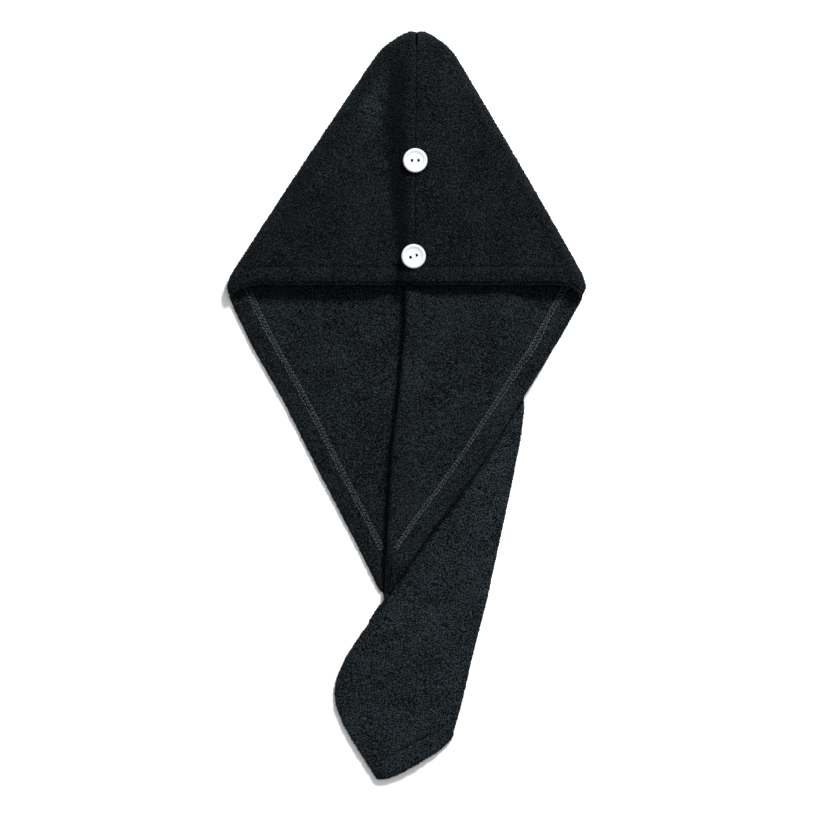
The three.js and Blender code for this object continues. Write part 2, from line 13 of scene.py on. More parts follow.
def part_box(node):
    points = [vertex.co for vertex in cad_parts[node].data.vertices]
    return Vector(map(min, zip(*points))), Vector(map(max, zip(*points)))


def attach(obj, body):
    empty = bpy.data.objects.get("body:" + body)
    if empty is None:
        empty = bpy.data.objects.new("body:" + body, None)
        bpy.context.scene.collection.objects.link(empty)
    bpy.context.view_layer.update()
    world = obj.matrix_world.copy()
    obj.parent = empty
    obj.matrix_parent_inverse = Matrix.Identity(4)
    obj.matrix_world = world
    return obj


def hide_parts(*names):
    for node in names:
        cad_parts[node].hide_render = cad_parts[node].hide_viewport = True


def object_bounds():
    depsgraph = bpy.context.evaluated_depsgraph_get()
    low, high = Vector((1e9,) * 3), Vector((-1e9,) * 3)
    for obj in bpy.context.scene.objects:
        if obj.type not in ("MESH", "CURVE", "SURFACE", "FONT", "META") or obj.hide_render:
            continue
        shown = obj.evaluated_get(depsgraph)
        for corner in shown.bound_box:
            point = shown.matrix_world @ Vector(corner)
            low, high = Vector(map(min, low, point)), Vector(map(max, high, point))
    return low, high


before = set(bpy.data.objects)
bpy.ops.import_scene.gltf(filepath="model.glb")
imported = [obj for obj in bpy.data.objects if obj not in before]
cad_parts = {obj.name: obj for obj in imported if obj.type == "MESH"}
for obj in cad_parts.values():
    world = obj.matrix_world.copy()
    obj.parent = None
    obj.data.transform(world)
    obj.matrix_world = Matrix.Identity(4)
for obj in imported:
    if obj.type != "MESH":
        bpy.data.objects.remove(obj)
cad_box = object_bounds()

MM = 0.001
SEED = 7

# Sizes of the towel, as in the frame
HOOD_DEPTH = 221.0
THROAT_DEPTH = 273.0
TAIL_LENGTH = 156.0
TOWEL_WIDTH = 312.0
CLOTH = 2.5
LAYER_GAP = 1.7
BLUNT_WIDTH = 41.5
TOP_ROUNDING = 22.0
SIDE_BOW = 1.3
FOLD_RADIUS = 8.5
FOLD_ROUNDING = 12.0
FRONT_RISE = 5.5
CORNER_RELEASE = 14.0
CORNER_SOFTNESS = 2.5
PLEAT_RADIUS = 2.3
PLEAT_START = 14.0
PLEAT_FULL = 42.0
CLOSE_LENGTH = 30.0
FLATTENED = 0.66
TAIL_SWELL = 2.2
TAIL_END_START = 0.6
TAIL_END_BULGE = 6.5
TAIL_END_SQUARENESS = 4
BUTTON_DIAMETER = 21.2
BUTTON_THICKNESS = 3.2
BUTTON_RIM = 1.5
BUTTON_DISH = 0.86
HOLE_DIAMETER = 2.3
HOLE_SPACING = 5.4
HOLE_FLARE = 0.22
BUTTON_TURN = {"upper": 0.0, "lower": 18.0}
STRANDS = (-0.45, -0.15, 0.15, 0.45)
STRAND_RADIUS = 0.16
STRAND_SET = 0.95

# Forms that are stronger here than in the frame
VALLEY_DEPTH = 8.5
VALLEY_LEFT_SPREAD = 2.2
PLEAT_SLOPE = 34.0

# How soon the valley and the front's whole relief come in
VALLEY_EASE = 3
PEAK_EASE = 4

# Hems, seams and stitches
HEM_RADIUS = 1.4
HEM_WIDTH = 15.0
HEM_ROWS = (0.14, 0.28, 0.42, 0.56, 0.7, 0.82, 0.9, 0.95, 0.985, 1.0)
HEM_TURNS = (0.17, 0.34, 0.5, 0.66, 0.83, 1.0)
HEM_END = 6.0
HEM_FADE = 16.0
HEM_PUFF = 1.0
HEM_TRIM = 0.6
RIM_LEAN = 31.0
SEAM_RADIUS = 0.35
SEAM_AIR = 0.08
SEAM_TURNS = (0.34, 0.67, 1.0)
ALLOWANCE = 4.0
ALLOWANCE_START = 6.0
ALLOWANCE_EASE = 30.0
ALLOWANCE_ROWS = (0.45, 0.8, 0.95, 1.0)
STITCH_ROWS = (13.2, 17.1)
STITCH_PITCH = 3.3
LOOP_SHARE = 0.66
LOOP_RISE = 0.34
LOOP_SINK = 0.12
CROSSING_LIFT = 0.35
THREAD = 0.36
CROSSING_SHARE = 0.34
TAIL_STITCH_LINE = ((-29.1, 638.6), (36.1, 603.0))
TAIL_TURNS = (0.3, 0.55, 0.75, 0.9, 1.0)
GROOVE_DEPTH = 1.3
GROOVE_WIDTH = 1.3
GROOVE_SHIFT = 1.5
TAIL_GROOVE = 2.0

# Shares of a narrow room that a hem, a fold and a seam take
HEM_ROOM = 0.87
FOLD_ROOM = 0.45
SEAM_ROOM = 0.3

# How the hem is laid on the inner face: step of the walk, evening out, where that starts
WALK_STEP = 1.5
SETTLE_PASSES = 60
SETTLE_LENGTH = 22.0

# Crowding of the mesh towards the back seam, and the tail's last stretch of fine sections
CROWDING = 1.6
TAIL_FINE = 24.0

# Painted light and shade of the pile on the front, on the tail and inside, standing in for how its lying
# nap catches the light
NAP_PAINTED_LIGHT = {"front": 0.62, "tail": 1.46, "inside": 0.96}
# Where the front's painted shade starts, and how it blends in, up and along
FRONT_FROM = 9.0
FRONT_HANG = 8.0
FRONT_BLEND = (8.0, 6.0)
# The valley's painted shade: strength, middle and spread as shares of the valley's offset
VALLEY_SHADE = 0.55
VALLEY_SHADE_MIDDLE = 0.62
VALLEY_SHADE_SPREAD = 0.6

# Soft forms
BACK_SWELL = 1.5
FRONT_SWELL = 1.4
SWELL_LENGTH = 55.0
PUCKER_HEIGHT = 0.35
PUCKER_LENGTH = 9.0
PUCKER_WIDTH = 8.0
RIDGE_LIFT = 5.0
RIDGE_WIDTH = 13.0
RIM_LIFT = 8.0
RIM_WIDTH = 17.0
RIM_START = 85.0
CRIMP_HEIGHT = 0.5
CRIMP_LENGTH = 6.5

# Lengths over which soft forms fade in or out
EDGE_EASE = 14.0
BACK_START = 20.0
BACK_EASE = 60.0
FRONT_EASE = 40.0
TAIL_EASE = 40.0
# The same in parts of a segment
SEAM_EASE = 9
TAIL_EDGE_EASE = 8

# Pile
PILE_RELIEF = 0.4
PILE_LENGTH = 3.6
EDGE_HALF = 0.18
TUFT_HEIGHT = 1.1
TUFT_WIDTH = 0.75
TUFT_ROOT = 0.25
TUFT_LEAN = 0.55
COMB = (0.9, -0.5, 0)
COMB_LENGTH = 9.0
TUFT_AIR = 5.0
UNDER_HEIGHT = 0.3
TUFTS = 120000
TUFTS_KEPT = 65000
PATCH_SHARE = 0.12

HALF_WIDTH = TOWEL_WIDTH / 2
HALF_CLOTH = CLOTH / 2
THROAT_BOTTOM = HOOD_DEPTH + THROAT_DEPTH
TOWEL_LENGTH = THROAT_BOTTOM + TAIL_LENGTH
SIDE_RADIUS = (CLOTH + LAYER_GAP) / 2
SEAM_BEND = math.pi * SIDE_RADIUS
LIP_BEND = math.pi * PLEAT_RADIUS
PEAK_Y = cad_box[1][1] / MM

# Front seam: down as a share of the hood's depth, across as a share of half the width
FRONT_SEAM_TABLE = [(0, 0.057), (0.5, 0.0485), (0.88, 0.04), (1, 0.003)]
# Valley beside the front seam: down, offset from the seam, spread
VALLEY_TABLE = [(0, 0.12, 0.11), (0.27, 0.19, 0.12), (0.74, 0.125, 0.07), (1, 0.07, 0.04)]
# Opening: down as a share of the throat's depth, left edge, right edge
THROAT_TABLE = [
    (0, -1, 1),
    (0.17, -0.862, 0.833),
    (0.37, -0.667, 0.617),
    (0.6, -0.465, 0.359),
    (0.8, -0.291, 0.108),
    (1, -0.125, -0.125),
]
# Pleat: down as a share of hood and throat, back seam edge, lip
PLEAT_TABLE = [
    (0, 0.057, 0.057),
    (0.454, 0.493, -0.008),
    (0.51, 0.6, -0.01),
    (0.65, 0.658, -0.048),
    (0.74, 0.624, -0.081),
    (1, 0.451, -0.125),
]
# Tail: along, under seam across and down, back seam across and down
TAIL_TABLE = [
    (0, 0, 0, 1, 0),
    (0.2, -0.227, 0.194, 0.92, 0.178),
    (0.4, -0.402, 0.36, 0.845, 0.35),
    (0.6, -0.481, 0.52, 0.79, 0.49),
    (0.8, -0.392, 0.7, 0.733, 0.62),
    (1, -0.052, 1.022, 0.656, 0.745),
]

# Soft dents in the tail: across, down, length, width, turn from the x axis, depth
TAIL_DENTS = [
    (-25, 588, 22, 6, -0.05, 1.6),
    (22, 492, 16, 11, 0.6, 1.2),
    (-6, 512, 12, 6, 0.9, 0.7),
]


def lerp(start, end, share):
    return start + (end - start) * share


def clamp(value, low=0.0, high=1.0):
    return np.minimum(np.maximum(value, low), high)


def smooth(value):
    value = clamp(value)
    return value * value * (3 - 2 * value)


def round_off(value):
    return np.sqrt(1 - (1 - clamp(value)) ** 2)


def read_table(table, column, at):
    """Smooth curve through one column of a table, against its first column."""
    index = 0
    while index < len(table) - 2 and at > table[index + 1][0]:
        index += 1

    def slope(row):
        before = table[max(row - 1, 0)]
        after = table[min(row + 1, len(table) - 1)]
        return (after[column] - before[column]) / (after[0] - before[0])

    start, end = table[index], table[index + 1]
    span = end[0] - start[0]
    u = (at - start[0]) / span
    ends = start[column] * (2 * u**3 - 3 * u**2 + 1) + end[column] * (3 * u**2 - 2 * u**3)
    pulls = (u**3 - 2 * u**2 + u) * slope(index) + (u**3 - u**2) * slope(index + 1)
    return ends + pulls * span


def hill(distance, width):
    return np.exp(-((distance / width) ** 2))


def bend(length, turn, share):
    """Where a strip gets to that starts level and turns evenly on its way."""
    share = np.asarray(share, dtype=float)
    if abs(turn) < 1e-6:
        return length * share, 0 * share
    radius = length / turn
    return radius * np.sin(turn * share), radius * (1 - np.cos(turn * share))


def bend_reach(length, turn):
    """How far sideways the outside of such a bend gets."""
    return float(bend(length, turn, min(1.0, math.pi / 2 / max(turn, 1e-9)))[0])


PEAK_ACROSS = FRONT_SEAM_TABLE[0][1] * HALF_WIDTH


def front_seam_across(down):
    return read_table(FRONT_SEAM_TABLE, 1, down / HOOD_DEPTH) * HALF_WIDTH


def back_seam_across(down):
    return read_table(PLEAT_TABLE, 1, down / THROAT_BOTTOM) * HALF_WIDTH


def lip_across(down):
    return read_table(PLEAT_TABLE, 2, down / THROAT_BOTTOM) * HALF_WIDTH


def outline_across(down, side):
    near_corner = 1 - clamp(abs(down - HOOD_DEPTH) / CORNER_RELEASE)
    corner = CORNER_SOFTNESS * near_corner**2
    if down > HOOD_DEPTH:
        share = (down - HOOD_DEPTH) / THROAT_DEPTH
        edge = read_table(THROAT_TABLE, 1 if side < 0 else 2, share) * HALF_WIDTH
        return float(edge + side * (CORNER_SOFTNESS * smooth((1 - share) * 2) - corner))
    top = PEAK_ACROSS + side * BLUNT_WIDTH / 2
    bow = SIDE_BOW * math.sin(math.pi * down / HOOD_DEPTH) - corner
    edge = lerp(top, side * (HALF_WIDTH + CORNER_SOFTNESS), down / HOOD_DEPTH) + side * bow
    return float(PEAK_ACROSS + (edge - PEAK_ACROSS) * round_off(down / TOP_ROUNDING))


class Section:
    """One cross-section of the towel, its measures taken across from the left outline."""

    def __init__(self, down):
        self.down = down
        self.is_tail = down > THROAT_BOTTOM
        self.closed = float(clamp((down - THROAT_BOTTOM) / CLOSE_LENGTH))
        self.released = float(smooth((down - HOOD_DEPTH) / CORNER_RELEASE))
        self.floor = HALF_CLOTH
        if self.is_tail:
            self.place_on_tail()
        else:
            self.place_on_hood()
        reach = 1.0
        if down <= HOOD_DEPTH:
            reach = float(clamp((self.right - self.back_seam) / (SEAM_BEND + LIP_BEND) / 2))
        self.seam_bend = SEAM_BEND * reach
        opened = min(1.0, self.closed / FLATTENED)
        closing = max(0.0, (self.closed - FLATTENED) / (1 - FLATTENED))
        self.lip_turn = -self.pleat_turn
        if self.is_tail:
            self.lip_turn = lerp(-math.pi, 0, opened) + math.pi / 2 * closing
        self.lip_bend = lerp(LIP_BEND * reach, SEAM_BEND / 2, float(smooth(opened)))
        self.side_turn = lerp(math.pi, 0, self.released)
        self.side_bend = SEAM_BEND / 2
        if self.is_tail:
            self.side_turn = max(self.lip_turn, 0.0)
        else:
            self.side_bend = lerp(math.pi * self.fold_radius, SEAM_BEND / 2, self.released)
        self.floor_start = self.left + bend_reach(self.side_bend, self.side_turn)
        self.floor_end = self.back_seam - float(bend(self.seam_bend, self.pleat_turn, 0.5)[0])
        out, up = bend(self.seam_bend, self.pleat_turn, 1.0)
        self.run_start = (self.floor_end + float(out), self.floor + float(up))
        halfway = 0.5 if self.lip_turn < 0 else 1.0
        lip_out = abs(float(bend(self.lip_bend, self.lip_turn, halfway)[0]))
        run = max(self.run_start[0] - self.lip_edge - lip_out, 0.0)
        run *= 1.0 if self.is_tail else self.formed**2
        self.lip_start = (
            self.run_start[0] + run * math.cos(self.pleat_turn),
            self.run_start[1] + run * math.sin(self.pleat_turn),
        )
        across, height = self.lip(np.array([1.0]))
        self.lip_end = (float(across[0]), float(height[0]))
        if not self.is_tail:
            self.right_turn = lerp(math.pi, 0, self.released)
            self.right_bend = self.side_bend
            if down > HOOD_DEPTH:
                room = max(self.right - self.lip_end[0], 0.0)
                self.right_bend = min(self.side_bend, room * FOLD_ROOM)
            outward = bend_reach(self.right_bend, self.right_turn)
            self.back_end = max(self.right - outward, self.lip_end[0])

    def place_on_tail(self):
        along = (self.down - THROAT_BOTTOM) / TAIL_LENGTH
        neck = back_seam_across(THROAT_BOTTOM) - lip_across(THROAT_BOTTOM)

        def tail_point(across, drop):
            return np.array([
                lip_across(THROAT_BOTTOM) + read_table(TAIL_TABLE, across, along) * neck,
                -THROAT_BOTTOM - read_table(TAIL_TABLE, drop, along) * TAIL_LENGTH,
            ])

        self.origin = tail_point(1, 2)
        reach = tail_point(3, 4) - self.origin
        self.width = float(np.hypot(*reach))
        self.direction = reach / self.width
        self.bulge = TAIL_END_BULGE * float(smooth((along - TAIL_END_START) / (1 - TAIL_END_START)))
        self.left = HALF_CLOTH
        self.back_seam = self.width - HALF_CLOTH
        self.lip_edge = HALF_CLOTH
        self.pleat_turn = math.pi

    def place_on_hood(self):
        outline = outline_across(self.down, -1)
        self.origin = np.array([outline, -self.down])
        self.direction = np.array([1.0, 0.0])
        self.width = 1.0
        self.bulge = 0.0
        self.fold_radius = FOLD_RADIUS * float(round_off((self.down - HALF_CLOTH) / FOLD_ROUNDING))
        self.floor = HALF_CLOTH + FOLD_RADIUS - self.fold_radius
        opposite = outline_across(self.down, 1) - outline
        self.left = min(HALF_CLOTH, opposite / 3)
        self.right = opposite - self.left
        self.front_seam = front_seam_across(min(self.down, HOOD_DEPTH)) - outline
        self.formed = float(smooth((self.down - PLEAT_START) / (PLEAT_FULL - PLEAT_START)))
        self.pleat_turn = math.pi * self.formed
        self.back_seam = back_seam_across(self.down) - HALF_CLOTH * self.formed - outline
        self.lip_edge = lip_across(self.down) + HALF_CLOTH - outline

    def front_height(self, across):
        side = np.where(across < self.front_seam, self.left, self.right)
        inward = clamp((across - side) / (self.front_seam - side))
        share = self.down / HOOD_DEPTH
        valley_at = self.front_seam - read_table(VALLEY_TABLE, 1, share) * HALF_WIDTH
        spread = read_table(VALLEY_TABLE, 2, share) * HALF_WIDTH
        spread = np.where(across < valley_at, VALLEY_LEFT_SPREAD, 1.0) * spread
        valley = VALLEY_DEPTH * hill(across - valley_at, spread)
        relief = FRONT_RISE * smooth(inward) - valley * smooth(inward * VALLEY_EASE)
        return self.floor + 2 * self.fold_radius + float(smooth(share * PEAK_EASE)) * relief

    def slope_start(self):
        return max(self.back_seam + HALF_CLOTH, self.lip_end[0])

    def back_height(self, across):
        share = (np.asarray(across) - self.slope_start()) / PLEAT_SLOPE
        return lerp(self.lip_end[1], self.floor, smooth(share))

    def seam_set(self, side):
        """How far the front layer stops short of the seam, to turn in there."""
        reach = abs(self.front_seam - (self.floor_start if side < 0 else self.back_end))
        return min(SEAM_RADIUS + HALF_CLOTH + SEAM_AIR, reach * SEAM_ROOM)

    # Each segment gives across and height for shares of its length

    def front_left(self, share):
        across = lerp(self.front_seam - self.seam_set(-1), self.floor_start, share)
        return across, self.front_height(across)

    def left_fold(self, share):
        out, up = bend(self.side_bend, self.side_turn, 1 - share)
        return self.floor_start - out, self.floor + up

    def floor_run(self, share):
        across = lerp(self.floor_start, self.floor_end, share)
        return across, self.floor + 0 * across

    def seam(self, share):
        out, up = bend(self.seam_bend, self.pleat_turn, share)
        return self.floor_end + out, self.floor + up

    def seam_left(self, share):
        return self.seam(share / 2)

    def seam_right(self, share):
        return self.seam(0.5 + share / 2)

    def pleat_run(self, share):
        swell = TAIL_SWELL * float(smooth(self.closed)) * np.sin(math.pi * share) ** 2
        across = lerp(self.run_start[0], self.lip_start[0], share)
        return across, lerp(self.run_start[1], self.lip_start[1], share) + swell

    def lip(self, share):
        along, off = bend(self.lip_bend, self.lip_turn, share)
        cos, sin = math.cos(self.pleat_turn), math.sin(self.pleat_turn)
        return self.lip_start[0] + along * cos - off * sin, self.lip_start[1] + along * sin + off * cos

    def back_right(self, share):
        across = lerp(self.lip_end[0], self.back_end, share)
        return across, self.back_height(across)

    def right_fold(self, share):
        out, up = bend(self.right_bend, self.right_turn, share)
        foot = float(self.back_height(self.back_end))
        top = foot if self.down > HOOD_DEPTH else self.floor
        return self.back_end + out, lerp(foot, top, smooth(share)) + up

    def front_right(self, share):
        across = lerp(self.back_end, self.front_seam + self.seam_set(1), share)
        return across, self.front_height(across)

    def place(self, across, height):
        share = clamp(across / self.width) if self.is_tail else 0 * across
        bulge = self.bulge * (1 - np.abs(2 * share - 1) ** TAIL_END_SQUARENESS)
        return np.stack([
            self.origin[0] + self.direction[0] * across + self.direction[1] * bulge,
            PEAK_Y + self.origin[1] + self.direction[1] * across - self.direction[0] * bulge,
            height,
        ], axis=-1)


# Soft forms laid over the sections


def soft_noise(points, length, seed, weights=(1, 1, 1)):
    """Smooth noise from about -1 to 1 at many points, its swells about a length apart."""
    shift = Vector((seed * 17.3, seed * 5.1, seed * 9.7))
    flat = (points * np.array(weights, dtype=float)).reshape(-1, 3) / length
    values = [noise.noise(Vector(point) + shift) for point in flat.tolist()]
    return np.array(values).reshape(points.shape[:-1])


def back_lift(section, across, points):
    """Low swells that all back layers share, so that they keep their distance."""
    swell = BACK_SWELL * clamp(0.5 + soft_noise(points, SWELL_LENGTH, 1, (1, 1, 0)), 0, 1.2)
    swell = swell + CRIMP_HEIGHT * (0.5 + soft_noise(points, CRIMP_LENGTH, 5, (1, 1.5, 0)))
    if section.is_tail:
        left, right = 0.0, section.width
        grown = smooth((section.down - THROAT_BOTTOM) / TAIL_EASE)
    else:
        left, right = section.left, section.right
        grown = smooth((section.down - BACK_START) / BACK_EASE)
    inward = smooth((across - left) / EDGE_EASE) * smooth((right - across) / EDGE_EASE)
    return swell * inward * float(grown)


def ridge_lift(section, name, across, shares):
    """The pleat's lip stands up in the opening, and the right rim rises over the tail."""
    if section.is_tail or name not in ("lip", "back_right", "right_fold"):
        return 0 * shares
    depth = section.down - HOOD_DEPTH
    rest = THROAT_DEPTH - depth
    ridge = RIDGE_LIFT * float(smooth(depth / BACK_EASE + 1) * smooth(rest / BACK_EASE))
    if name == "lip":
        return ridge * smooth(shares)
    room = max(section.right - section.lip_end[0], 1.0)
    ridge *= float(smooth(room / 2 / RIDGE_WIDTH))
    rim = RIM_LIFT * float(smooth((depth - RIM_START) / TAIL_EASE) * smooth(rest / TAIL_EASE))
    ridge = ridge * hill(across - section.lip_end[0], RIDGE_WIDTH)
    return ridge + rim * hill(across - section.right, RIM_WIDTH)


def front_form(section, across, points, share):
    """Swells, seam pucker and the hem's stitched groove on the hood's front layer."""
    from_seam = np.abs(across - section.front_seam)
    from_edge = HOOD_DEPTH - section.down
    swell = FRONT_SWELL * soft_noise(points, SWELL_LENGTH, 2, (1, 1, 0))
    pucker = PUCKER_HEIGHT * math.sin(2 * math.pi * section.down / PUCKER_LENGTH)
    pucker = pucker * hill(from_seam, PUCKER_WIDTH)
    groove = -GROOVE_DEPTH * hill(from_edge - STITCH_ROWS[0] - GROOVE_SHIFT, GROOVE_WIDTH)
    groove += HEM_PUFF * math.sin(math.pi * float(clamp(from_edge / STITCH_ROWS[0])))
    grown = float(smooth(section.down / FRONT_EASE))
    return (grown * (swell + pucker) + groove) * smooth(share * SEAM_EASE)


def tail_form(points):
    """The straight stitched groove across the tail's upper layer, and its soft dents."""
    start, end = (np.array([across, PEAK_Y - down]) for across, down in TAIL_STITCH_LINE)
    along = (end - start) / np.hypot(*(end - start))
    offset = points[:, :2] - start
    away = offset[:, 0] * along[1] - offset[:, 1] * along[0]
    form = -TAIL_GROOVE * hill(away, GROOVE_WIDTH)
    for across, down, long, short, turn, depth in TAIL_DENTS:
        offset = points[:, :2] - (across, PEAK_Y - down)
        lengthwise = offset[:, 0] * math.cos(turn) + offset[:, 1] * math.sin(turn)
        crosswise = offset[:, 1] * math.cos(turn) - offset[:, 0] * math.sin(turn)
        form -= depth * hill(lengthwise, long) * hill(crosswise, short)
    return form


# Segments of each half's sections, in order, with their steps across
LEFT_SEGMENTS = {"front_left": 74, "left_fold": 12, "floor_run": 90, "seam_left": 6}
RIGHT_SEGMENTS = {
    "seam_right": 6,
    "pleat_run": 34,
    "lip": 8,
    "back_right": 78,
    "right_fold": 12,
    "front_right": 72,
}
SEGMENT_STEPS = {**LEFT_SEGMENTS, **RIGHT_SEGMENTS}
FRONT_NAMES = ("front_left", "front_right")
SIDE_NAMES = ("back_right", "right_fold")


def segment_points(section, name):
    """Middle surface of the cloth along one segment, with its soft forms."""
    shares = np.linspace(0, 1, SEGMENT_STEPS[name] + 1)
    if name == "seam_left":
        shares = 1 - (1 - shares) ** CROWDING
    elif name == "seam_right":
        shares = shares**CROWDING
    elif name == "left_fold" and section.down > HOOD_DEPTH and not section.is_tail:
        trim = section.released * min(hem_radius(section.down) / section.side_bend, HEM_TRIM)
        shares = lerp(trim, 1, shares)
    elif name == "right_fold" and section.down > HOOD_DEPTH:
        taken = hem_radius(section.down) / max(section.right_bend, 1e-6)
        trim = section.released * min(taken, HEM_TRIM)
        shares = shares * (1 - trim)
    across, height = getattr(section, name)(shares)
    points = section.place(across, height)
    if name in FRONT_NAMES:
        from_fold = 1 - shares if name == "front_left" else shares
        points[:, 2] += front_form(section, across, points, from_fold)
        leaning = float(smooth((section.down - HOOD_DEPTH + RIM_LEAN) / RIM_LEAN))
        points[:, 1] += (HEM_RADIUS + HALF_CLOTH) * leaning * smooth(from_fold * SEAM_EASE)
        return points
    points[:, 2] += back_lift(section, across, points) + ridge_lift(section, name, across, shares)
    if section.is_tail and name == "pleat_run":
        inward = smooth(shares * TAIL_EDGE_EASE) * smooth((1 - shares) * TAIL_EDGE_EASE)
        points[:, 2] += tail_form(points) * inward
    return points


# Cross-sections down the towel: the end of each run, how many it has, crowding at its start
STATION_RUNS = [
    (TOP_ROUNDING, 12, 2),
    (HOOD_DEPTH - HEM_WIDTH - 3, 84, 1),
    (HOOD_DEPTH, 14, 1),
    (HOOD_DEPTH + CORNER_RELEASE, 9, 1),
    (THROAT_BOTTOM, 120, 1),
    (THROAT_BOTTOM + CLOSE_LENGTH, 14, 1),
    (TOWEL_LENGTH - TAIL_FINE, 48, 1),
    (TOWEL_LENGTH - SIDE_RADIUS - HALF_CLOTH, 28, 1),
]


def station_list():
    stations = []
    start = HALF_CLOTH
    for end, count, power in STATION_RUNS:
        stations += [lerp(start, end, (step / count) ** power) for step in range(1, count)] + [end]
        start = end
    return stations


def as_quads(faces):
    """Faces with four corners each, a triangle's last one twice."""
    return np.array([[*face, face[-1]][:4] for face in faces])


def face_areas(corners):
    """Areas and unit normals of four-cornered faces."""
    normal = np.cross(corners[:, 2] - corners[:, 0], corners[:, 3] - corners[:, 1])
    area = np.linalg.norm(normal, axis=1) / 2
    return area, normal / np.maximum(area[:, None] * 2, 1e-9)


class Cloth:
    """A sheet's middle surface: points in millimetres and faces whose normals point outward."""

    def __init__(self):
        self.points = []
        self.faces = []

    def add(self, point):
        self.points.append(np.asarray(point, dtype=float))
        return len(self.points) - 1

    def strip(self, first, second):
        """Joins two rows of point numbers, where both have one."""
        for column in range(len(first) - 1):
            corners = [first[column], first[column + 1], second[column + 1], second[column]]
            if min(corners) < 0:
                continue
            kept = [corner for i, corner in enumerate(corners) if corner not in corners[:i]]
            if len(kept) > 2:
                self.faces.append(kept)

    def normals(self):
        points = np.array(self.points)
        total = np.zeros_like(points)
        for size in (3, 4):
            faces = np.array([face for face in self.faces if len(face) == size])
            if not len(faces):
                continue
            corners = points[faces]
            normal = np.cross(corners[:, 2] - corners[:, 0], corners[:, -1] - corners[:, 1])
            for corner in range(size):
                np.add.at(total, faces[:, corner], normal)
        length = np.linalg.norm(total, axis=1, keepdims=True)
        return total / np.maximum(length, 1e-9)

    def open_edges(self):
        edges = dict.fromkeys(pair for face in self.faces for pair in zip(face, [*face[1:], face[0]]))
        return [edge for edge in edges if (edge[1], edge[0]) not in edges]

    def area(self):
        points = np.array(self.points)
        return float(face_areas(points[as_quads(self.faces)])[0].sum())


def panel(segments, side):
    """One of the two sewn panels as a middle surface, and its opening edge in order."""
    cloth = Cloth()
    peak = cloth.add((PEAK_ACROSS, PEAK_Y - HALF_CLOTH, HALF_CLOTH + FOLD_RADIUS))
    columns = {}
    count = 0
    for name in segments:
        columns[name] = (count, count + SEGMENT_STEPS[name])
        count += SEGMENT_STEPS[name]
    previous = [peak] * (count + 1)
    edge_column = columns["left_fold"][0] if side < 0 else columns["right_fold"][1]
    edge = []
    front_rows = []
    for down in station_list():
        section = Section(down)
        at_bottom = abs(down - THROAT_BOTTOM) < 1e-6
        row = [-1] * (count + 1)
        for name in segments:
            if name in FRONT_NAMES and down > HOOD_DEPTH + 1e-6:
                continue
            if name in SIDE_NAMES and section.is_tail:
                continue
            start, end = columns[name]
            if at_bottom and name in SIDE_NAMES:
                row[start + 1:end + 1] = [row[columns["lip"][1]]] * (end - start)
                continue
            for step, point in enumerate(segment_points(section, name)):
                if row[start + step] < 0:
                    row[start + step] = cloth.add(point)
        cloth.strip(previous, row)
        if down <= HOOD_DEPTH:
            front_rows.append((section, row[0] if side < 0 else row[-1]))
        if abs(down - HOOD_DEPTH) < 1e-6:
            edge = row[:edge_column + 1] if side < 0 else row[edge_column:][::-1]
        elif HOOD_DEPTH < down < THROAT_BOTTOM - HEM_END:
            edge.append(row[edge_column])
        previous = row
    close_tail(cloth, previous, section, side)
    turn_in_seam(cloth, front_rows, side)
    return cloth, edge


def close_tail(cloth, row, section, side):
    """The tail's two layers turn towards each other at its end and meet halfway up."""
    onward = np.array([section.direction[1], -section.direction[0], 0.0])
    middle = HALF_CLOTH + SIDE_RADIUS + side * SEAM_AIR
    live = [point for point in row if point >= 0]
    start = np.array([cloth.points[point] for point in live])
    previous = live
    for turned in TAIL_TURNS:
        angle = turned * math.pi / 2
        moved = start + onward * SIDE_RADIUS * math.sin(angle)
        moved[:, 2] = lerp(start[:, 2], middle, 1 - math.cos(angle))
        current = [cloth.add(point) for point in moved]
        cloth.strip(previous, current)
        previous = current


def turn_in_seam(cloth, front_rows, side):
    """The front layer turns down at the centre seam and ends in its seam allowance."""
    strips = []
    for section, number in front_rows:
        radius = max(section.seam_set(side) - HALF_CLOTH - SEAM_AIR, 0.05)
        depth = ALLOWANCE * float(smooth((section.down - ALLOWANCE_START) / ALLOWANCE_EASE))
        start = cloth.points[number]
        strip = [number]
        for turned in SEAM_TURNS:
            angle = turned * math.pi / 2
            shift = -side * radius * math.sin(angle)
            strip.append(cloth.add(start + (shift, 0, -radius * (1 - math.cos(angle)))))
        for share in ALLOWANCE_ROWS:
            strip.append(cloth.add(start + (-side * radius, 0, -radius - depth * share)))
        strips.append(strip)
    for first, second in zip(strips, strips[1:]):
        cloth.strip(first[::side], second[::side])


def walk_edge(cloth, edge, side):
    """Frames along the opening edge: point, direction off the cloth, direction inward."""
    points = np.array([cloth.points[number] for number in edge])
    outward = cloth.normals()[edge]
    tangent = np.gradient(points, axis=0)
    for _ in range(3):
        tangent[1:-1] = (tangent[:-2] + tangent[1:-1] * 2 + tangent[2:]) / 4
    off = -side * np.cross(outward, tangent)
    off /= np.linalg.norm(off, axis=1, keepdims=True)
    return points, off, -outward


def hem_radius(down):
    """Bend radius of the turned hem, which tapers off at the opening's bottom."""
    return HEM_RADIUS * float(clamp((THROAT_BOTTOM - down) / HEM_FADE, 0.2, 1))


def hem_room(down, side):
    """Room for the hem beside the pleat, which runs across it near the opening's bottom."""
    if down <= HOOD_DEPTH:
        return 2 * HEM_WIDTH
    section = Section(down)
    room = section.right - section.lip_end[0]
    if side < 0:
        room = section.lip_edge - CLOTH - section.left
    return float(room * HEM_ROOM - 0.5)


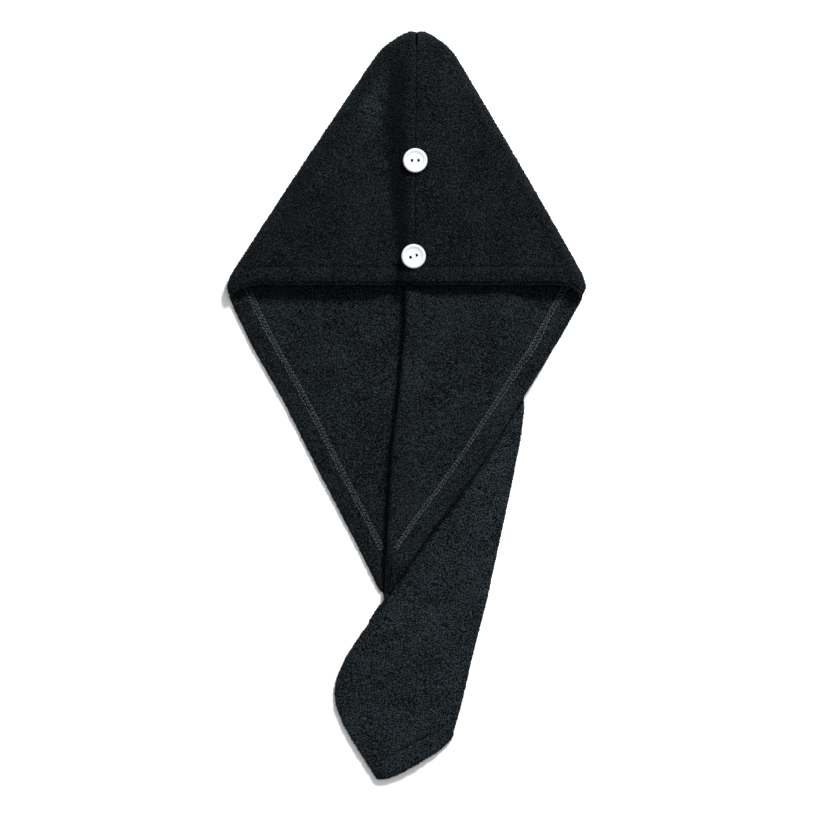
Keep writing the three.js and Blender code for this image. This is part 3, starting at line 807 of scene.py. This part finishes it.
def walk_inside(tree, point, off, inward, distances):
    """Points on the cloth's middle surface, straight in from its opening edge, with facings."""
    at, heading, facing = Vector(point), -Vector(off), Vector(inward)
    start, along = Vector(point), Vector(np.cross(off, inward))
    travelled = 0.0
    found = []
    for distance in distances:
        steps = max(1, int(math.ceil((distance - travelled) / WALK_STEP)))
        for _ in range(steps):
            at, normal, _, _ = tree.find_nearest(at + heading * ((distance - travelled) / steps))
            at -= along * (at - start).dot(along)
            if normal.dot(facing) < 0:
                normal = -normal
            facing = facing.lerp(normal, 0.5).normalized()
            heading = (heading - facing * heading.dot(facing)).normalized()
        travelled = distance
        found.append((np.array(at), np.array(facing)))
    return found


def settle(tree, walked, shares):
    """Evens out places along the edge where a share asks for it, and lays them back down."""
    even = walked[:, :, 0].copy()
    for _ in range(SETTLE_PASSES):
        even[1:-1] += (even[:-2] - 2 * even[1:-1] + even[2:]) / 4 * shares[1:-1, None, None]
    settled = walked.copy()
    for i, j in np.ndindex(even.shape[:2]):
        if shares[i] > 0:
            at, normal, _, _ = tree.find_nearest(Vector(even[i, j]))
            facing = Vector(walked[i, j, 1])
            settled[i, j] = at, (normal if normal.dot(facing) > 0 else -normal)
    return settled


def turn_hem(cloth, edge, side):
    """Turns the opening edge in and lays the hem on the inner face. Gives its stitch rows."""
    points, off, inward = walk_edge(cloth, edge, side)
    tree = BVHTree.FromPolygons([tuple(point) for point in cloth.points], list(cloth.faces))
    down = PEAK_Y - points[:, 1]
    room = np.array([hem_room(at, side) for at in down])
    width = clamp(room, 0.8, HEM_WIDTH)
    walked = np.array([
        walk_inside(tree, points[i], off[i], inward[i], [*(np.array(HEM_ROWS) * width[i]), *STITCH_ROWS])
        for i in range(len(edge))
    ])
    walked = settle(tree, walked, smooth((down - HOOD_DEPTH - SETTLE_LENGTH) / SETTLE_LENGTH))
    rows = []
    stitches = []
    for index, number in enumerate(edge):
        radius = hem_radius(down[index])
        row = [number]
        for turned in HEM_TURNS:
            angle = turned * math.pi
            shift = off[index] * math.sin(angle) + inward[index] * (1 - math.cos(angle))
            row.append(cloth.add(points[index] + shift * radius))
        *on_inside, on_hem, on_cloth = walked[index]
        for place, facing in on_inside:
            row.append(cloth.add(place + facing * 2 * radius))
        rows.append(row)
        if room[index] < STITCH_ROWS[0]:
            continue
        stitches.append((
            on_hem[0] + on_hem[1] * (2 * HEM_RADIUS + HALF_CLOTH + THREAD * 0.4),
            on_cloth[0] + on_cloth[1] * (HALF_CLOTH + THREAD * 0.6),
            on_hem[1],
        ))
    for first, second in zip(rows, rows[1:]):
        cloth.strip(*(first, second)[::-side])
    return stitches


def thicken(cloth, seed):
    """Both faces of the cloth and its rounded edges, with the pile's relief on them."""
    points = np.array(cloth.points)
    normals = cloth.normals()
    edges = cloth.open_edges()
    rim = sorted({number for edge in edges for number in edge})
    tree = KDTree(len(rim))
    for number in rim:
        tree.insert(points[number], number)
    tree.balance()
    away = np.array([tree.find(point)[2] for point in points])
    half = np.maximum(HALF_CLOTH * round_off(away / HALF_CLOTH), EDGE_HALF)
    count = len(points)
    both = np.concatenate([points + normals * half[:, None], points - normals * half[:, None]])
    outward = np.concatenate([normals, -normals])
    relief = soft_noise(both, PILE_LENGTH, seed) + 0.6 * soft_noise(both, PILE_LENGTH * 2.3, seed + 1)
    relief = relief * np.concatenate([half, half]) / HALF_CLOTH
    both = both + outward * (PILE_RELIEF * relief)[:, None]
    both[:, 2] = np.maximum(both[:, 2], 0.0)
    faces = [tuple(face) for face in cloth.faces]
    faces += [tuple(count + number for number in face[::-1]) for face in cloth.faces]
    faces += [(end, start, count + start, count + end) for start, end in edges]
    return both, faces


# Objects


def painted_nap_light_and_shade(points, facings):
    """Painted light and shade of the pile, for how its nap catches the light: it lies up the front of the
    hood and down the back and tail. The valley beside the front seam gets painted shade too.
    """
    above, inside = points[:, 2] - FRONT_FROM, points[:, 1] - PEAK_Y + HOOD_DEPTH + FRONT_HANG
    on_front = smooth(above / FRONT_BLEND[0]) * smooth(inside / FRONT_BLEND[1])
    tone = lerp(np.where(facings > 0, NAP_PAINTED_LIGHT["tail"], NAP_PAINTED_LIGHT["inside"]), NAP_PAINTED_LIGHT["front"], on_front)
    share = clamp((PEAK_Y - points[:, 1]) / HOOD_DEPTH)
    down, across = zip(*FRONT_SEAM_TABLE)
    from_seam = np.interp(share, down, across) * HALF_WIDTH - points[:, 0]
    # Painted shade on a band in the valley left of the front seam
    down, offset, _ = zip(*VALLEY_TABLE)
    middle = np.interp(share, down, offset) * HALF_WIDTH * VALLEY_SHADE_MIDDLE
    shaded = np.exp(-(((from_seam - middle) / (middle * VALLEY_SHADE_SPREAD)) ** 4))
    return tone * (1 - VALLEY_SHADE * shaded * on_front * smooth(share * 5))


def add_object(name, data):
    thing = bpy.data.objects.new(name, data)
    bpy.context.scene.collection.objects.link(thing)
    return thing


def make_object(name, points, faces, material):
    mesh = bpy.data.meshes.new(name)
    mesh.from_pydata((np.asarray(points) * MM).tolist(), [], [list(face) for face in faces])
    mesh.shade_smooth()
    mesh.validate()
    mesh.update()
    mesh.materials.append(material)
    return add_object(name, mesh)


# Stores the nap's painted light and shade on the mesh, for the fleece colour to be scaled by
def store_painted_nap_light(piece, tones):
    values = piece.data.attributes.new("nap_and_painted_light", "FLOAT", "POINT")
    values.data.foreach_set("value", tones)


def tube(points, radius, sides=6):
    """Points and faces of a round thread along a line."""
    points = np.asarray(points, dtype=float)
    tangent = np.gradient(points, axis=0)
    tangent /= np.maximum(np.linalg.norm(tangent, axis=1, keepdims=True), 1e-9)
    up = np.tile(np.array([0.0, 0.0, 1.0]), (len(points), 1))
    up[np.abs(tangent[:, 2]) > 0.9] = (0.0, 1.0, 0.0)
    across = np.cross(tangent, up)
    across /= np.linalg.norm(across, axis=1, keepdims=True)
    up = np.cross(across, tangent)
    rings = []
    for step in range(sides):
        angle = 2 * math.pi * step / sides
        rings.append(points + radius * (across * math.cos(angle) + up * math.sin(angle)))
    verts = np.stack(rings, axis=1).reshape(-1, 3)
    faces = []
    for ring in range(len(points) - 1):
        for step in range(sides):
            a = ring * sides + step
            b = ring * sides + (step + 1) % sides
            faces.append((a, b, b + sides, a + sides))
    faces.append(tuple(range(sides))[::-1])
    last = (len(points) - 1) * sides
    faces.append(tuple(last + step for step in range(sides)))
    return verts, faces


def join(parts):
    """Several lists of points and faces as one."""
    verts, faces, count = [], [], 0
    for part_verts, part_faces in parts:
        verts.append(part_verts)
        faces += [tuple(count + number for number in face) for face in part_faces]
        count += len(part_verts)
    return np.concatenate(verts), faces


def overlock(stitches):
    """Cover stitch: two rows of short loops with a thread that crosses between them."""
    upper = np.array([stitch[0] for stitch in stitches])
    lower = np.array([stitch[1] for stitch in stitches])
    lift = np.array([stitch[2] for stitch in stitches])
    arc = np.concatenate([[0], np.cumsum(np.linalg.norm(np.diff(lower, axis=0), axis=1))])

    def at(line, where):
        return np.stack([np.interp(where, arc, line[:, axis]) for axis in range(3)], axis=-1)

    turns = np.arange(1.0, arc[-1] - 1.0, STITCH_PITCH / 2)
    zigzag = []
    for index, where in enumerate(turns[:-1]):
        start, end = (lower, upper) if index % 2 == 0 else (upper, lower)
        zigzag.append(at(start, where))
        middle = (at(start, where) + at(end, turns[index + 1])) / 2
        zigzag.append(middle + at(lift, where) * CROSSING_LIFT)
    parts = [tube(zigzag, THREAD * CROSSING_SHARE, 5)]
    for line in (upper, lower):
        for where in np.arange(1.0, arc[-1] - STITCH_PITCH, STITCH_PITCH):
            share = np.linspace(0, 1, 5)
            loop = at(line, where + share * STITCH_PITCH * LOOP_SHARE)
            rise = LOOP_RISE * np.sin(math.pi * share) - LOOP_SINK
            parts.append(tube(loop + at(lift, where + share) * rise[:, None], THREAD / 2, 5))
    return join(parts)


def grow_pile(verts, faces, blockers, count, seed):
    """Small bent tufts over the faces that nothing covers closely, and their painted light and shade from
    the nap.
    """
    rng = np.random.default_rng(seed)
    quads = as_quads(faces)
    corners = verts[quads]
    area, normal = face_areas(corners)
    picked = rng.choice(len(quads), size=count, p=area / area.sum())
    u, v = rng.random((2, count, 1))
    here = corners[picked]
    spot = lerp(lerp(here[:, 0], here[:, 1], u), lerp(here[:, 3], here[:, 2], u), v)
    facing = normal[picked]
    open_air = np.zeros(count, dtype=bool)
    for index in range(count):
        if spot[index][2] + facing[index][2] < UNDER_HEIGHT:
            continue
        start = Vector(spot[index] + facing[index] * 0.5)
        direction = Vector(facing[index])
        open_air[index] = all(tree.ray_cast(start, direction, TUFT_AIR)[0] is None for tree in blockers)
    spot, facing = spot[open_air], facing[open_air]
    outside = np.where(quads[picked[open_air], 0] < len(verts) // 2, 1.0, -1.0)
    tones = np.repeat(painted_nap_light_and_shade(spot, outside), 4)
    count = len(spot)
    lean = rng.normal(0, TUFT_LEAN, (count, 3))
    lean += soft_noise(spot, COMB_LENGTH, 11)[:, None] * np.array(COMB)
    tip_way = facing + lean
    tip_way /= np.linalg.norm(tip_way, axis=1, keepdims=True)
    height = TUFT_HEIGHT * rng.uniform(0.55, 1.15, (count, 1))
    width = TUFT_WIDTH * rng.uniform(0.6, 1.2, (count, 1))
    side_way = np.cross(facing, rng.normal(0, 1, (count, 3)))
    side_way /= np.maximum(np.linalg.norm(side_way, axis=1, keepdims=True), 1e-9)
    other_way = np.cross(facing, side_way)
    root = spot - facing * TUFT_ROOT
    ring = [
        root + (side_way * math.cos(angle) + other_way * math.sin(angle)) * width
        for angle in (0.0, math.pi * 2 / 3, math.pi * 4 / 3)
    ]
    tufts = np.stack(ring + [root + facing * TUFT_ROOT + tip_way * height], axis=1)
    tufts[:, :, 2] = np.maximum(tufts[:, :, 2], 0.0)
    base = np.arange(count)[:, None] * 4
    sides = np.array([[0, 1, 3], [1, 2, 3], [2, 0, 3]])
    return tufts.reshape(-1, 3), (base[:, :, None] + sides[None]).reshape(-1, 3), tones


# Materials


def feed(material, socket, value):
    """Sets an input to a value, or links another node's output to it."""
    if isinstance(value, bpy.types.NodeSocket):
        material.node_tree.links.new(value, socket)
    else:
        socket.default_value = value


def add_node(material, kind, *inputs, **settings):
    """A new node, its inputs given in order or by name, with its other settings."""
    node = material.node_tree.nodes.new(kind)
    for key, value in settings.items():
        if key in node.inputs:
            feed(material, node.inputs[key], value)
        else:
            setattr(node, key, value)
    for socket, value in zip(node.inputs, inputs):
        feed(material, socket, value)
    return node


def new_material(name):
    """A material and the place on the object that its textures follow."""
    material = bpy.data.materials.new(name)
    material.use_nodes = True
    return material, add_node(material, "ShaderNodeTexCoord").outputs["Object"]


def ramp(material, value, stops):
    node = add_node(material, "ShaderNodeValToRGB", value)
    for element, (position, colour) in zip(node.color_ramp.elements, stops):
        element.position = position
        element.color = (*colour, 1)
    return node.outputs["Color"]


def finish(material, looks):
    """Sets the surface's own inputs, by their names."""
    shader = material.node_tree.nodes["Principled BSDF"]
    for key, value in looks.items():
        feed(material, shader.inputs[key], value)
    return material


def fleece_material(name, dark, light, grain=1.0):
    """Coral fleece: curled pile in clumps of a millimetre or two, dull, with a faint sheen."""
    material, place = new_material(name)
    noise_node, math_node = "ShaderNodeTexNoise", "ShaderNodeMath"
    clumps = add_node(material, noise_node, place, Scale=860.0, Detail=2.0, Roughness=0.7)
    curls = add_node(material, "ShaderNodeTexVoronoi", place, Scale=760.0)
    patches = add_node(material, noise_node, place, Scale=38.0, Detail=4.0, Roughness=0.55)
    clumps, patches = clumps.outputs["Fac"], patches.outputs["Fac"]
    scaled = add_node(material, math_node, clumps, 1 - PATCH_SHARE, operation="MULTIPLY")
    mixed = add_node(
        material, math_node, patches, PATCH_SHARE, scaled.outputs[0], operation="MULTIPLY_ADD"
    )
    tone = ramp(material, mixed.outputs[0], [(0.462, dark), (0.6, light)])
    # The fleece colour is scaled by the stored painted light and shade of the nap
    nap_and_painted_light = add_node(material, "ShaderNodeAttribute", attribute_name="nap_and_painted_light")
    toned = add_node(material, "ShaderNodeVectorMath", tone, operation="SCALE", Scale=nap_and_painted_light.outputs["Fac"])
    height = add_node(material, math_node, clumps, curls.outputs["Distance"], operation="SUBTRACT")
    bump = add_node(material, "ShaderNodeBump", Height=height.outputs[0], Strength=grain, Distance=0.0013)
    return finish(material, {
        "Base Color": toned.outputs[0],
        "Normal": bump.outputs["Normal"],
        "Roughness": 1.0,
        "Specular IOR Level": 0.04,
        "Sheen Weight": 0.012,
        "Sheen Roughness": 0.5,
        "Sheen Tint": (0.75, 0.9, 1.0, 1),
    })


def noise_material(name, scale, detail, stops, looks, relief=None):
    """A surface whose tone, and relief where it has one, follow one noise texture."""
    material, place = new_material(name)
    cloud = add_node(material, "ShaderNodeTexNoise", place, Scale=scale, Detail=detail).outputs["Fac"]
    looks = {**looks, "Base Color": ramp(material, cloud, stops)}
    if relief:
        strength, distance = relief
        bump = add_node(material, "ShaderNodeBump", Height=cloud, Strength=strength, Distance=distance)
        looks["Normal"] = bump.outputs["Normal"]
    return finish(material, looks)


def thread_material(name, colour):
    stops = [(0.35, tuple(0.72 * value for value in colour)), (0.65, colour)]
    return noise_material(name, 2600.0, 2.0, stops, {"Roughness": 0.75}, (0.5, 0.0002))


def button_material():
    stops = [(0.3, (0.44, 0.452, 0.482)), (0.7, (0.465, 0.478, 0.512))]
    looks = {"Roughness": 0.32, "Coat Weight": 0.25}
    return noise_material("white_button", 160.0, 4.0, stops, looks, (0.08, 0.0003))


def floor_material():
    stops = [(0.3, (0.90, 0.90, 0.90)), (0.7, (0.92, 0.92, 0.92))]
    looks = {"Roughness": 0.9, "Specular IOR Level": 0.1}
    return noise_material("pale_floor", 3.0, 2.0, stops, looks)


# Buttons


def lathe(profile, sides):
    """Round piece from rings of (radius, height). Its first and last ring close on the axis."""
    verts = [(0.0, 0.0, profile[0][1])]
    for radius, height in profile[1:-1]:
        for step in range(sides):
            angle = 2 * math.pi * step / sides
            verts.append((radius * math.cos(angle), radius * math.sin(angle), height))
    verts.append((0.0, 0.0, profile[-1][1]))
    faces = []
    rings = len(profile) - 2
    for step in range(sides):
        after = (step + 1) % sides
        faces.append((0, 1 + after, 1 + step))
        for ring in range(rings - 1):
            low, high = 1 + ring * sides, 1 + (ring + 1) * sides
            faces.append((low + step, low + after, high + after, high + step))
        top = 1 + (rings - 1) * sides
        faces.append((top + step, top + after, len(verts) - 1))
    return np.array(verts), faces


def button_piece(name, centre, turn, material):
    """A two-hole button with a raised round rim."""
    radius, thick = BUTTON_DIAMETER / 2, BUTTON_THICKNESS
    profile = [(0, 0.25), (radius - 4.0, 0.25), (radius - 1.6, 0.0)]
    for step in range(9):
        angle = -math.pi / 2 + math.pi * step / 8
        out = radius - BUTTON_RIM * (1 - math.cos(angle))
        profile.append((out, thick / 2 * (1 + math.sin(angle))))
    profile += [(radius - 2.1, thick - 0.05), (radius - 2.8, thick - 0.32), (radius - 3.4, thick - 0.68)]
    profile += [(radius - 4.2, thick - 0.82), (radius - 6.5, thick - BUTTON_DISH), (0, thick - 0.9)]
    verts, faces = lathe(profile, 96)
    piece = make_object(name, verts, faces, material)
    hole = HOLE_DIAMETER / 2
    cut_profile = [(0, -1), (hole, -1), (hole, thick - 1.3), (hole + 0.12, thick - 1.05)]
    cut_profile += [(hole + HOLE_FLARE, thick - 0.84), (hole + HOLE_FLARE, thick + 1), (0, thick + 1)]
    for side in (-1, 1):
        cut_verts, cut_faces = lathe(cut_profile, 32)
        cut_verts = cut_verts + (side * HOLE_SPACING / 2, 0, 0)
        cutter = make_object(f"{name}_cutter", cut_verts, cut_faces, material)
        cut = piece.modifiers.new("hole", "BOOLEAN")
        cut.object = cutter
        cut.solver = "EXACT"
        bpy.context.view_layer.update()
        shaped = piece.evaluated_get(bpy.context.evaluated_depsgraph_get())
        with_holes = bpy.data.meshes.new_from_object(shaped)
        piece.modifiers.clear()
        piece.data = with_holes
        bpy.data.objects.remove(cutter)
    piece.data.shade_smooth()
    piece.data.set_sharp_from_angle(angle=math.radians(38))
    # The walls of the holes get a dark grey: painted shade
    piece.data.materials.append(painted_hole_shade)
    for face in piece.data.polygons:
        from_hole = math.hypot(abs(face.center.x) / MM - HOLE_SPACING / 2, face.center.y / MM)
        if from_hole < hole + 0.2 and abs(face.normal.z) < 0.8:
            face.material_index = 1
    place_turned(piece, centre, turn)
    return piece


def place_turned(piece, centre, turn):
    to_centre = Matrix.Translation(Vector(centre) * MM)
    piece.data.transform(to_centre @ Matrix.Rotation(math.radians(turn), 4, "Z"))
    piece.data.update()


def button_threads(name, centre, turn, material):
    """Four strands of thread that bridge the two holes and go down through them."""
    top = BUTTON_THICKNESS - BUTTON_DISH
    reach = HOLE_SPACING / 2 - STRAND_SET
    parts = []
    for offset in STRANDS:
        line = [(-reach + 0.05, offset, -0.6), (-reach, offset, top - 0.9)]
        for share in np.linspace(0, 1, 13):
            arch = math.sin(math.pi * share)
            across = lerp(-reach, reach, share)
            rise = top - 0.12 + 0.28 * min(1.0, arch * 4) + 0.1 * max(arch, 0.0) ** 0.6
            line.append((across, offset, rise))
        line += [(reach, offset, top - 0.9), (reach - 0.05, offset, -0.6)]
        parts.append(tube(line, STRAND_RADIUS, 8))
    verts, faces = join(parts)
    piece = make_object(name, verts, faces, material)
    place_turned(piece, centre, turn)
    return piece


# Build the towel

fleece = fleece_material("dark_fleece", (0.0002, 0.0004, 0.0005), (0.0205, 0.0268, 0.0310))
pile = fleece_material("dark_pile", (0.0003, 0.0006, 0.0007), (0.0250, 0.0328, 0.0380), 0.9)
white_thread = thread_material("white_thread", (0.86, 0.86, 0.83))
grey_thread = thread_material("grey_thread", (0.115, 0.13, 0.14))
white_plastic = button_material()
# Painted shade: a dark grey for the walls of the button's holes, in place of the shade inside them
painted_hole_shade = thread_material("painted_hole_shade", (0.05, 0.05, 0.055))

HALVES = {
    "left": (LEFT_SEGMENTS, -1, ("left_panel", "front_hem_left", "throat_hem_left"), SEED),
    "right": (RIGHT_SEGMENTS, 1, ("right_panel", "front_hem_right", "throat_hem_right"), SEED + 20),
}
built = {}
for word, (segments, side, nodes, seed) in HALVES.items():
    cloth, edge = panel(segments, side)
    stitches = turn_hem(cloth, edge, side)
    verts, faces = thicken(cloth, seed)
    piece = make_object(f"{word}_towel_half", verts, faces, fleece)
    facings = np.repeat([1.0, -1.0], len(verts) // 2)
    # The half's colour gets the nap's painted light and shade
    store_painted_nap_light(piece, painted_nap_light_and_shade(verts, facings))
    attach(piece, "root")
    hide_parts(*nodes)
    built[word] = (piece, cloth, verts, faces, stitches)

blockers = [
    BVHTree.FromPolygons([tuple(point) for point in verts], faces)
    for _, _, verts, faces, _ in built.values()
]
for word, (piece, cloth, verts, faces, stitches) in built.items():
    stitch_verts, stitch_faces = overlock(stitches)
    seam = make_object(f"{word}_hem_stitches", stitch_verts, stitch_faces, grey_thread)
    tuft_verts, tuft_faces, tones = grow_pile(verts, faces, blockers, TUFTS, SEED)
    tuft_verts, tuft_faces = tuft_verts[:TUFTS_KEPT * 4], tuft_faces[:TUFTS_KEPT * 3]
    nap_and_painted_light = make_object(f"{word}_pile", tuft_verts, tuft_faces, pile)
    # The tufts get the nap's painted light and shade
    store_painted_nap_light(nap_and_painted_light, tones[:len(tuft_verts)])
    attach(seam, "root")
    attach(nap_and_painted_light, "root")
    cloth.area() * MM * MM

for word, turn in BUTTON_TURN.items():
    low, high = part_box(f"{word}_button")
    centre = ((low[0] + high[0]) / 2 / MM, (low[1] + high[1]) / 2 / MM, low[2] / MM)
    button = button_piece(f"{word}_towel_button", centre, turn, white_plastic)
    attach(button, "root")
    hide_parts(f"{word}_button")
    threads = button_threads(f"{word}_towel_button_thread", centre, turn, white_thread)
    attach(threads, "root")
    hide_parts(f"{word}_button_thread")

# Floor, light and camera

FLOOR_REACH = 4000.0
corners = [(x * FLOOR_REACH, y * FLOOR_REACH, 0) for x, y in ((-1, -1), (1, -1), (1, 1), (-1, 1))]
floor = make_object("floor", corners, [(0, 1, 2, 3)], floor_material())


def area_light(name, position, size, power):
    data = bpy.data.lights.new(name, "AREA")
    data.shape = "DISK"
    data.size = size
    data.energy = power
    light = add_object(name, data)
    light.location = position
    light.rotation_euler = (-Vector(position)).to_track_quat("-Z", "Y").to_euler()


scene = bpy.context.scene
area_light("key", (0.66, 1.42, 1.55), 0.5, 88)
area_light("fill", (0.5, 0.4, 2.6), 1.4, 12)
world = bpy.data.worlds.new("studio")
world.use_nodes = True
background = world.node_tree.nodes["Background"].inputs
background["Color"].default_value = (1, 1, 1, 1)
background["Strength"].default_value = 0.46
scene.world = world
scene.view_settings.view_transform = "Standard"

LENS = 200.0
SENSOR = 36.0
# What the view spans at a level above the floor, near the cloth's middle
VIEW_WIDTH = 0.7074
VIEW_LEVEL = 0.012
camera_data = bpy.data.cameras.new("camera")
camera_data.lens = LENS
camera_data.sensor_width = SENSOR
camera = add_object("camera", camera_data)
camera.location = (0.0004, -0.0009, LENS / SENSOR * VIEW_WIDTH + VIEW_LEVEL)
scene.camera = camera

bpy.context.view_layer.update()
